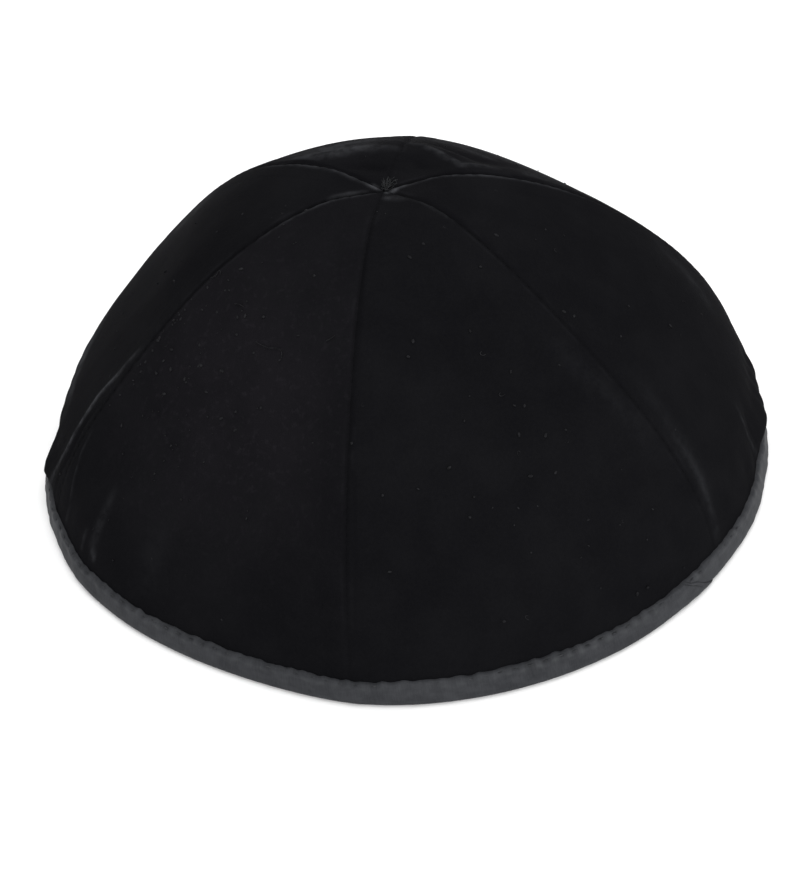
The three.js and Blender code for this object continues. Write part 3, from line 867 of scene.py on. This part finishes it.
def tapeEdge(azimuth):  # height of the upper edge, the pull of each stitch and the stitch line's strength
    around = np.mod(azimuth, fullTurn)
    turn = np.radians(azimuth)
    edge = roundRim(azimuth, tape["edgeWaves"]) + np.interp(around, tape["swingAzimuth"], tape["swing"]) * mm
    pull = 0.5 + 0.5 * np.cos(turn * tape["stitches"] + 0.8 * np.sin(turn * 31))
    uneven = 1 - tape["stitchUneven"] * (1 - np.sin(turn * 19 + 1.7 * np.sin(turn * 7)))
    strength = uneven * np.interp(around, tape["stitchAzimuth"], tape["stitchStrength"])
    return edge - tape["edgePull"] * pull * strength, pull, strength


def nearStitches(heights, width, below=0.0):  # 1 on the stitch line, or so far below it, and 0 away from it
    return np.exp(-(((heights + below - tape["height"] + tape["stitchDrop"]) / width) ** 2))


def tapeRing(azimuth, heights, offsets):  # the tape's face with its wavering edge and soft wrinkles
    edge, pull, strength = tapeEdge(azimuth)
    outer = offsets > 0
    height = heights + edge * smoothStep(*tape["swingFrom"], heights) * (offsets > -1 * mm)
    seated = smoothStep(*tape["wrinklesFrom"], heights) * (np.abs(offsets) > 0.5 * mm)
    push = roundRim(azimuth, tape["wrinkles"], heights * tape["wrinkleSlant"])
    push = push * seated * np.where(outer, 1, -1)
    dip = tape["dip"] * (0.35 + 0.65 * pull) * nearStitches(heights, tape["dipWidth"])
    lump = tape["lump"] * (1 - pull) * nearStitches(heights, tape["lumpWidth"], tape["lumpDrop"])
    return rimPoint(azimuth, height, offsets + push + (lump - dip) * strength * outer)[0]


def stretchAlong(face):  # lengths along the tape's width
    return np.concatenate([[0], np.cumsum(np.linalg.norm(np.diff(face, axis=0), axis=1))])[:, None]


def finishTape(piece, azimuth, face, groove, material):
    girth = stretchAlong(face)
    flat = np.stack([np.radians(azimuth) * dome["halfWidth"] + 0 * girth, girth + 0 * azimuth], axis=-1)
    addShare(piece, "tapeShadeAndHighlight", groove + 0 * flat[..., 0])
    dress(piece, material)
    return flat


def tapeSection():  # from the inner edge round the fold to the upper edge
    face = np.array(tapeFace)[::-1] * mm
    return face, face[:, 0][:, None], face[:, 1][:, None]


def makeBinding(material):
    columns = tape["columns"]
    piece = addSheet("satinBinding", columns, len(tapeFace) - 1)
    face, heights, offsets = tapeSection()
    azimuth = np.linspace(0, fullTurn, columns + 1)[None, :]
    outside = tapeRing(azimuth, heights, offsets)
    slotOut = tape["slotOut"]
    slotIn = -(velvet["wall"] + tape["slotIn"])
    bottom = np.argmin(np.abs(offsets - tape["foldMiddle"]))
    slotOffsets = np.where(np.arange(len(face)) > bottom, slotOut, slotIn)
    slotOffsets[bottom] = (slotOut + slotIn) / 2
    inside = tapeRing(azimuth, np.maximum(heights, tape["slotFloor"]), slotOffsets[:, None])
    _, pull, strength = tapeEdge(azimuth)
    # Painted shade along the stitch line and a painted highlight on the lumps below it.
    groove = nearStitches(heights, tape["darkWidth"], -tape["darkRise"]) * (0.1 + 0.9 * pull)
    groove = groove - nearStitches(heights, tape["lightWidth"], tape["lightDrop"]) * (1 - pull) ** 2
    groove = groove * (offsets > 0) * strength
    flat = finishTape(piece, azimuth, face, groove, material)
    shapeSheet(piece, outside, inside, flat)
    mergePoints(piece, tape["joinGap"])
    dropInnerFaces(piece)
    smoothShade(piece, tape["smoothAngle"])
    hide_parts("rim_binding")
    print("binding", len(piece.data.vertices), "points")


def makeLap(material):  # the tape's free end, turned under and laid slantwise over its start
    columns = tape["lapColumns"]
    piece = addSheet("tapeEnd", columns, len(tapeFace) - 1)
    face, heights, offsets = tapeSection()
    outward = offsets > tape["foldMiddle"]
    share = np.linspace(0, 1, columns + 1)[None, :]
    slope = (tape["lapTop"] - tape["lapBottom"]) / tape["height"]
    end = tape["lapBottom"] + slope * np.where(outward, heights, -heights)
    end = end + tape["lapWaver"] * np.sin(heights * 1600 + 1)
    start = tape["lapBottom"] - math.degrees(tape["lapLength"] / dome["halfWidth"])
    azimuth = start + (end - start) * share
    turned = np.exp(-(((share - 1 + tape["lapTurn"]) / tape["lapTurnWidth"]) ** 2))
    turned = turned * smoothStep(1.2 * mm, 3 * mm, heights)
    rise = smoothStep(0, 0.7, share) * (1 - 0.5 * smoothStep(0.97, 1, share)) - tape["lapTurnDip"] * turned
    rise = tape["lapRise"] * rise * smoothStep(0, 0.8 * mm, heights) * np.where(outward, 1, -0.5)
    outside = tapeRing(azimuth, heights, offsets + rise)
    inside = tapeRing(azimuth, heights, offsets - tape["lapInside"] * np.where(outward, 1, -1))
    # Painted shadow along the lap's turned-under edge and its cut end.
    groove = np.maximum(0.8 * turned, smoothStep(0.975, 1.0, share))
    shapeSheet(piece, outside, inside, finishTape(piece, azimuth, face, groove, material))
    smoothShade(piece, tape["smoothAngle"])
    print("lapped end", len(piece.data.vertices), "points")


def makeStitches(material):
    deselectAll()
    bpy.ops.mesh.primitive_uv_sphere_add(segments=8, ring_count=6, radius=1)
    shape = bpy.context.object
    chance = random.Random(tape["stitchSeed"])
    thick = tape["stitchThickness"]
    places = []
    for number in range(tape["stitches"]):
        azimuth = fullTurn * number / tape["stitches"]
        edge, _, strength = tapeEdge(azimuth)
        height = tape["height"] - tape["stitchDrop"] + edge * tape["stitchFollow"]
        proud = min(1, strength / tape["proudFrom"])
        offset = tape["stitchSunk"] + (tape["stitchProud"] - tape["stitchSunk"]) * proud
        point, normal = rimPoint(np.array([azimuth]), np.array([height]), np.array([offset]))
        out = Vector(normal[0])
        askew = math.radians(chance.uniform(-tape["stitchAskew"], tape["stitchAskew"]))
        side = Matrix.Rotation(askew, 3, out) @ Vector((-out.y, out.x, 0)).normalized()
        up = out.cross(side)
        turn = Matrix((side * tape["stitchLength"], up * thick, out * thick)).transposed().to_4x4()
        places.append(Matrix.Translation(Vector(point[0])) @ turn)
    addCopies("edgeStitches", shape, places, material)


# Loose threads and lint

def makeThreads(name, paths, thickness, material):  # loose thread ends, each through a few chosen points
    curve = bpy.data.curves.new(name, "CURVE")
    curve.dimensions = "3D"
    curve.bevel_depth = thickness / 2
    curve.bevel_resolution = 1
    curve.use_fill_caps = True
    for points in paths:
        line = curve.splines.new("BEZIER")
        line.bezier_points.add(len(points) - 1)
        for knot, place in zip(line.bezier_points, points):
            knot.co = place
            knot.handle_left_type = "AUTO"
            knot.handle_right_type = "AUTO"
    piece = bpy.data.objects.new(name, curve)
    bpy.context.scene.collection.objects.link(piece)
    selectOnly(piece)
    bpy.ops.object.convert(target="MESH")
    piece = bpy.context.object
    smoothShade(piece)
    dress(piece, material)
    print(name, len(piece.data.vertices), "points")


def surfacePlace(gore, across, along, lift=0.0):
    point, normal, _ = domePoint(gore, np.array(across), np.array(along))
    return Vector(point + normal * lift - rimMiddle), Vector(normal)


# Frayed thread ends at the crown, in millimetres from its middle.
tuft = {
    "seed": 8,
    "thickness": 0.12 * mm,
    "spread": 0.85 * mm,
    "stray": 0.4,  # each fibre wanders by this share of the spread
    "strands": [20, 9, 5],
    "paths": [
        [(0.3, 0, 0.2), (0.5, 0.9, 0.6), (0.4, 1.8, 0.8), (0.8, 2.6, 0.9)],
        [(0.3, 0.2, 0.2), (1.3, 1.7, 0.8), (2.3, 2.9, 1.1), (3.2, 3.5, 1.0)],
        [(0.4, 0.1, 0.2), (1.5, 0.9, 0.6), (2.3, 1.4, 0.7)],
    ],
    "colours": (colour(0.014, 0.0145, 0.0152), colour(0.03, 0.031, 0.0325)),
}


def makeTuft(material):  # the frayed ends of the closing thread at the crown
    crown = surfacePlace(0, 0, 0)[0]
    chance = random.Random(tuft["seed"])
    strands = []
    for path, count in zip(tuft["paths"], tuft["strands"]):
        for strand in range(count):
            last = chance.uniform(0.7, 1)
            aside = Vector([chance.uniform(-1, 1) for axis in "xyz"]) * tuft["spread"]
            points = []
            for number, place in enumerate(path):
                stray = Vector([chance.gauss(0, tuft["stray"]) for axis in "xyz"]) * tuft["spread"]
                points.append(crown + Vector(place) * mm * last + (aside + stray) * min(1, number / 2))
            strands.append(points)
    makeThreads("crownTuft", strands, tuft["thickness"], material)


lint = {
    "seed": 23,
    "lift": 0.1 * mm,
    "thickness": 0.7,  # as a share of the width
    "stretch": (0.5, 1.9),
    "across": (0.01, 0.99),  # none over a seam, at the crown or inside the binding
    "along": (0.04, 0.93),
    "specks": 245,
    "speckSize": (0.17 * mm, 0.42 * mm),
    "curls": 46,
    "curlSize": (0.25 * mm, 0.48 * mm),
    "spots": [  # where lint gathers: a gore, the place across and along it, and how widely it is strewn
        (5, 0.03, 0.5, 0.016, 0.1),
        (5, 0.12, 0.4, 0.1, 0.12),
        (5, 0.25, 0.55, 0.12, 0.1),
        (5, 0.3, 0.45, 0.2, 0.2),
        (5, 0.4, 0.6, 0.3, 0.22),
        (5, 0.3, 0.75, 0.25, 0.12),
        (0, 0.5, 0.5, 0.3, 0.25),
        (0, 0.7, 0.72, 0.2, 0.15),
        (1, 0.4, 0.5, 0.25, 0.2),
        (4, 0.7, 0.4, 0.2, 0.2),
        (2, 0.5, 0.5, 0.3, 0.25),
        (3, 0.5, 0.5, 0.3, 0.25),
    ],
    "hairThickness": 0.19 * mm,
    "hairLift": 0.3 * mm,
    "hairs": [  # a gore and a path through places across and along it
        (5, [(0.48, 0.393), (0.52, 0.3945), (0.567, 0.393), (0.605, 0.3885), (0.628, 0.391), (0.64, 0.404)]),
        (5, [(0.85, 0.352), (0.873, 0.346), (0.892, 0.34)]),
        (5, [(0.02, 0.35), (0.035, 0.338), (0.028, 0.327), (0.055, 0.331)]),
        (5, [(0.26, 0.349), (0.287, 0.3445), (0.318, 0.3435)]),
    ],
    "colours": (colour(0.008, 0.008, 0.0088), colour(0.0145, 0.0145, 0.016)),
}


def curlShape():  # part of a thin ring, closed at both ends
    deselectAll()
    bpy.ops.mesh.primitive_torus_add(major_segments=10, minor_segments=5, major_radius=1, minor_radius=0.17)
    curl = bpy.context.object
    bpy.ops.object.mode_set(mode="EDIT")
    bpy.ops.mesh.select_all(action="DESELECT")
    bpy.ops.object.mode_set(mode="OBJECT")
    for vertex in curl.data.vertices:
        vertex.select = vertex.co.x > -0.2 and vertex.co.y > -0.4
    bpy.ops.object.mode_set(mode="EDIT")
    bpy.ops.mesh.delete(type="VERT")
    bpy.ops.mesh.select_all(action="SELECT")
    bpy.ops.mesh.fill_holes(sides=5)
    bpy.ops.object.mode_set(mode="OBJECT")
    return curl


def isBetween(value, ends):
    return ends[0] < value < ends[1]


def strewLint(name, shape, count, sizes, chance, material):
    places = []
    for number in range(count):
        gore, middle, level, wide, tall = chance.choice(lint["spots"])
        across = chance.gauss(middle, wide)
        along = chance.gauss(level, tall)
        if not (isBetween(across, lint["across"]) and isBetween(along, lint["along"])):
            continue
        point, normal = surfacePlace(gore, across, along, lint["lift"])
        size = chance.uniform(*sizes)
        side = Matrix.Rotation(chance.uniform(0, 2 * math.pi), 3, normal) @ normal.orthogonal().normalized()
        up = normal.cross(side)
        stretch = chance.uniform(*lint["stretch"])
        scaled = (side * size * stretch, up * size, normal * size * lint["thickness"])
        places.append(Matrix.Translation(point) @ Matrix(scaled).transposed().to_4x4())
    addCopies(name, shape, places, material)


def makeLint(material):  # specks, short curled fibres and a few longer hairs caught in the pile
    chance = random.Random(lint["seed"])
    deselectAll()
    bpy.ops.mesh.primitive_ico_sphere_add(subdivisions=1, radius=1)
    strewLint("lintSpecks", bpy.context.object, lint["specks"], lint["speckSize"], chance, material)
    strewLint("lintCurls", curlShape(), lint["curls"], lint["curlSize"], chance, material)
    lift = lint["hairLift"]
    hairs = [[surfacePlace(gore, *place, lift)[0] for place in path] for gore, path in lint["hairs"]]
    makeThreads("lintHairs", hairs, lint["hairThickness"], material)


# Stage

camera = {
    "distance": 569.7 * mm,
    "elevation": 42.4,
    "roll": 3.75,
    "lens": 89.8,
    "shift": (-0.0068, 0.0),
}


def addCamera():
    tilt = math.radians(camera["elevation"])
    roll = math.radians(camera["roll"])
    back = Vector((0, -math.cos(tilt), math.sin(tilt)))
    upright = Vector((0, math.sin(tilt), math.cos(tilt)))
    level = Vector((1, 0, 0))
    side = level * math.cos(roll) - upright * math.sin(roll)
    top = level * math.sin(roll) + upright * math.cos(roll)
    data = bpy.data.cameras.new("camera")
    data.lens = camera["lens"]
    data.sensor_width = 36
    data.shift_x, data.shift_y = camera["shift"]
    data.clip_start = 0.01
    seen = bpy.data.objects.new("camera", data)
    bpy.context.scene.collection.objects.link(seen)
    turn = Matrix((side, top, back)).transposed().to_4x4()
    seen.matrix_world = Matrix.Translation(back * camera["distance"]) @ turn
    bpy.context.scene.camera = seen


def addFloor():
    deselectAll()
    bpy.ops.mesh.primitive_plane_add(size=8)
    floor = bpy.context.object
    floor.name = "paleFloor"
    floor.data.materials.append(floorFinish())


studio = {
    "worldStrength": 0.85,
    "aim": (0, 0, 0.03),
    "lights": [  # name, place, width and height, and power in watts
        ("topBox", (0.05, 0.3, 1.15), (1.2, 0.9), 8),
        ("backBox", (0.1, 1.3, 0.4), (1.4, 0.5), 3),
        ("frontBox", (0.1, -1.25, 0.4), (0.9, 0.6), 5),
        ("leftBox", (-0.9, -0.7, 0.6), (0.9, 0.7), 0.8),
        ("rightBox", (0.9, -0.6, 0.5), (0.9, 0.7), 5),
    ],
}


def addLights():
    for name, place, size, power in studio["lights"]:
        deselectAll()
        bpy.ops.object.light_add(type="AREA", location=place)
        light = bpy.context.object
        light.name = name
        light.data.shape = "RECTANGLE"
        light.data.size, light.data.size_y = size
        light.data.energy = power
        aim = Vector(studio["aim"]) - Vector(place)
        light.rotation_euler = aim.to_track_quat("-Z", "Y").to_euler()


def addWorld():
    world = bpy.data.worlds.new("studio")
    bpy.context.scene.world = world
    world.use_nodes = True
    background = world.node_tree.nodes["Background"]
    background.inputs["Color"].default_value = colour(1, 1, 1)
    background.inputs["Strength"].default_value = studio["worldStrength"]


# The picture

addCamera()
addFloor()
addWorld()
addLights()
bpy.context.scene.view_settings.view_transform = "Standard"
print("stage ready")

blackVelvet = velvetFinish()
groundCloth = backingFinish()
charcoalSatin = satinFinish()
for index in range(len(gores)):
    makeGore(index, blackVelvet, groundCloth)
makeBinding(charcoalSatin)
makeLap(charcoalSatin)
makeStitches(threadFinish("edgeThread", *tape["threadColours"]))
makeTuft(threadFinish("paleThread", *tuft["colours"]))
makeLint(threadFinish("lint", *lint["colours"]))
print("cap ready")
